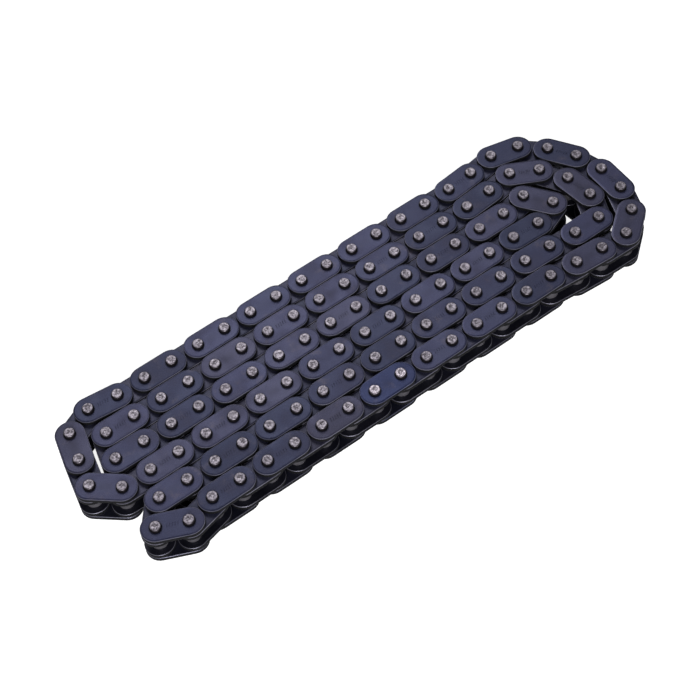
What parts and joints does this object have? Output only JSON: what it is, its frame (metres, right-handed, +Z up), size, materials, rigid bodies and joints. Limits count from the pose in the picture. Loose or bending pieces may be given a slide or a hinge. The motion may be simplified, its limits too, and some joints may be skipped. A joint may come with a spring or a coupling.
{
  "type": "roller chain",
  "caption": "Endless 6.35 mm pitch steel roller chain laid on its side in packed rows, with pins, bushes, inner and outer plates and a riveted connecting link",
  "frame": {"origin": "centre of the bounding box in plan, on the surface that the lower pin ends stand on", "axes": "+X along the straight rows to the right, +Y towards the back row, +Z up along the pins"},
  "size_m": [0.132, 0.0398, 0.0091],
  "materials": {
    "outer_plate": "blue-black oxide on steel, satin, oiled",
    "inner_plate": "blue-black oxide on steel, satin, oiled",
    "blued_plate": "heat-blued steel, satin",
    "pin_steel": "bare steel, riveted ends",
    "bright_pin": "bare steel, hand-riveted ends",
    "bush_steel": "hardened dark steel, oiled"
  },
  "bodies": {
    "packed_rows": {"packed_outer_plates_upper": "outer_plate", "packed_outer_plates_lower": "outer_plate", "packed_inner_plates_upper": "inner_plate", "packed_inner_plates_lower": "inner_plate", "packed_pins": "pin_steel", "packed_bushes": "bush_steel"},
    "link_109": {"link_109_inner_plates": "inner_plate", "link_109_bushes": "bush_steel"},
    "link_110": {"link_110_outer_plates": "outer_plate", "link_110_pins": "pin_steel"},
    "link_111": {"link_111_inner_plates": "inner_plate", "link_111_bushes": "bush_steel"},
    "link_112": {"link_112_outer_plates": "outer_plate", "link_112_pins": "pin_steel"},
    "link_113": {"link_113_inner_plates": "inner_plate", "link_113_bushes": "bush_steel"},
    "link_114": {"link_114_outer_plates": "outer_plate", "link_114_pins": "pin_steel"},
    "link_115": {"link_115_inner_plates": "inner_plate", "link_115_bushes": "bush_steel"},
    "link_116": {"link_116_outer_plates": "outer_plate", "link_116_pins": "pin_steel"},
    "link_117": {"link_117_inner_plates": "inner_plate", "link_117_bushes": "bush_steel"},
    "link_1": {"link_1_inner_plates": "inner_plate", "link_1_bushes": "bush_steel"},
    "link_2": {"link_2_outer_plates": "outer_plate", "link_2_pins": "pin_steel"},
    "link_3": {"link_3_inner_plates": "inner_plate", "link_3_bushes": "bush_steel"},
    "link_4": {"link_4_outer_plates": "outer_plate", "link_4_pins": "pin_steel"},
    "link_5": {"link_5_inner_plates": "inner_plate", "link_5_bushes": "bush_steel"},
    "link_6": {"link_6_outer_plates": "outer_plate", "link_6_pins": "pin_steel"},
    "link_7": {"link_7_inner_plates": "inner_plate", "link_7_bushes": "bush_steel"},
    "link_8": {"link_8_outer_plates": "outer_plate", "link_8_pins": "pin_steel"},
    "link_9": {"link_9_inner_plates": "inner_plate", "link_9_bushes": "bush_steel"},
    "link_10": {"link_10_outer_plates": "outer_plate", "link_10_pins": "pin_steel"},
    "link_11": {"link_11_inner_plates": "inner_plate", "link_11_bushes": "bush_steel"},
    "link_12": {"link_12_outer_plates": "outer_plate", "link_12_pins": "pin_steel"},
    "link_13": {"link_13_inner_plates": "inner_plate", "link_13_bushes": "bush_steel"},
    "link_14": {"link_14_outer_plates": "outer_plate", "link_14_pins": "pin_steel"},
    "link_15": {"link_15_inner_plates": "inner_plate", "link_15_bushes": "bush_steel"},
    "connecting_link": {"connecting_link_cover_plate": "blued_plate", "connecting_link_pin_plate": "blued_plate", "connecting_link_pin": "bright_pin", "connecting_link_open_pin": "bright_pin"}
  },
  "joints": [
    {"name": "pin_16_turn", "type": "hinge", "parent": "packed_rows", "child": "link_15", "pos_m": [0.05348, 0.01544, 0.00455], "axis": [0, 0, 1], "range_deg": [0, 40]},
    {"name": "pin_15_turn", "type": "hinge", "parent": "link_15", "child": "link_14", "pos_m": [0.05803, 0.01101, 0.00455], "axis": [0, 0, 1], "range_deg": [0, 40]},
    {"name": "pin_14_turn", "type": "hinge", "parent": "link_14", "child": "link_13", "pos_m": [0.06137, 0.00561, 0.00455], "axis": [0, 0, 1], "range_deg": [0, 40]},
    {"name": "pin_13_turn", "type": "hinge", "parent": "link_13", "child": "link_12", "pos_m": [0.06301, -0.00052, 0.00455], "axis": [0, 0, 1], "range_deg": [0, 40]},
    {"name": "pin_12_turn", "type": "hinge", "parent": "link_12", "child": "link_11", "pos_m": [0.06278, -0.00687, 0.00455], "axis": [0, 0, 1], "range_deg": [0, 40]},
    {"name": "pin_11_turn", "type": "hinge", "parent": "link_11", "child": "link_10", "pos_m": [0.06052, -0.0128, 0.00455], "axis": [0, 0, 1], "range_deg": [0, 40]},
    {"name": "pin_10_turn", "type": "hinge", "parent": "link_10", "child": "link_9", "pos_m": [0.05554, -0.01674, 0.00455], "axis": [0, 0, 1], "range_deg": [0, 40]},
    {"name": "pin_9_turn", "type": "hinge", "parent": "link_9", "child": "link_8", "pos_m": [0.04919, -0.01658, 0.00455], "axis": [0, 0, 1], "range_deg": [0, 30]},
    {"name": "pin_8_turn", "type": "hinge", "parent": "link_8", "child": "link_7", "pos_m": [0.04286, -0.01609, 0.00455], "axis": [0, 0, 1], "range_deg": [0, 30]},
    {"name": "pin_7_turn", "type": "hinge", "parent": "link_7", "child": "link_6", "pos_m": [0.03654, -0.0155, 0.00455], "axis": [0, 0, 1], "range_deg": [0, 30]},
    {"name": "pin_6_turn", "type": "hinge", "parent": "link_6", "child": "link_5", "pos_m": [0.03019, -0.0155, 0.00455], "axis": [0, 0, 1], "range_deg": [0, 30]},
    {"name": "pin_5_turn", "type": "hinge", "parent": "link_5", "child": "link_4", "pos_m": [0.02384, -0.0155, 0.00455], "axis": [0, 0, 1], "range_deg": [0, 30]},
    {"name": "pin_4_turn", "type": "hinge", "parent": "link_4", "child": "link_3", "pos_m": [0.01749, -0.0155, 0.00455], "axis": [0, 0, 1], "range_deg": [0, 30]},
    {"name": "pin_3_turn", "type": "hinge", "parent": "link_3", "child": "link_2", "pos_m": [0.01114, -0.0155, 0.00455], "axis": [0, 0, 1], "range_deg": [0, 30]},
    {"name": "pin_2_turn", "type": "hinge", "parent": "link_2", "child": "link_1", "pos_m": [0.00479, -0.0155, 0.00455], "axis": [0, 0, 1], "range_deg": [0, 30]},
    {"name": "pin_1_turn", "type": "hinge", "parent": "link_1", "child": "connecting_link", "pos_m": [-0.00156, -0.0155, 0.00455], "axis": [0, 0, 1], "range_deg": [0, 30]},
    {"name": "pin_109_turn", "type": "hinge", "parent": "packed_rows", "child": "link_109", "pos_m": [-0.05394, -0.00932, 0.00455], "axis": [0, 0, -1], "range_deg": [0, 40]},
    {"name": "pin_110_turn", "type": "hinge", "parent": "link_109", "child": "link_110", "pos_m": [-0.05795, -0.01424, 0.00455], "axis": [0, 0, -1], "range_deg": [0, 40]},
    {"name": "pin_111_turn", "type": "hinge", "parent": "link_110", "child": "link_111", "pos_m": [-0.0522, -0.01693, 0.00455], "axis": [0, 0, -1], "range_deg": [0, 40]},
    {"name": "pin_112_turn", "type": "hinge", "parent": "link_111", "child": "link_112", "pos_m": [-0.04601, -0.0155, 0.00455], "axis": [0, 0, -1], "range_deg": [0, 40]},
    {"name": "pin_113_turn", "type": "hinge", "parent": "link_112", "child": "link_113", "pos_m": [-0.03966, -0.0155, 0.00455], "axis": [0, 0, -1], "range_deg": [0, 40]},
    {"name": "pin_114_turn", "type": "hinge", "parent": "link_113", "child": "link_114", "pos_m": [-0.03331, -0.0155, 0.00455], "axis": [0, 0, -1], "range_deg": [0, 40]},
    {"name": "pin_115_turn", "type": "hinge", "parent": "link_114", "child": "link_115", "pos_m": [-0.02696, -0.0155, 0.00455], "axis": [0, 0, -1], "range_deg": [0, 40]},
    {"name": "pin_116_turn", "type": "hinge", "parent": "link_115", "child": "link_116", "pos_m": [-0.02061, -0.0155, 0.00455], "axis": [0, 0, -1], "range_deg": [0, 40]},
    {"name": "pin_117_turn", "type": "hinge", "parent": "link_116", "child": "link_117", "pos_m": [-0.01426, -0.0155, 0.00455], "axis": [0, 0, -1], "range_deg": [0, 40]}
  ]
}
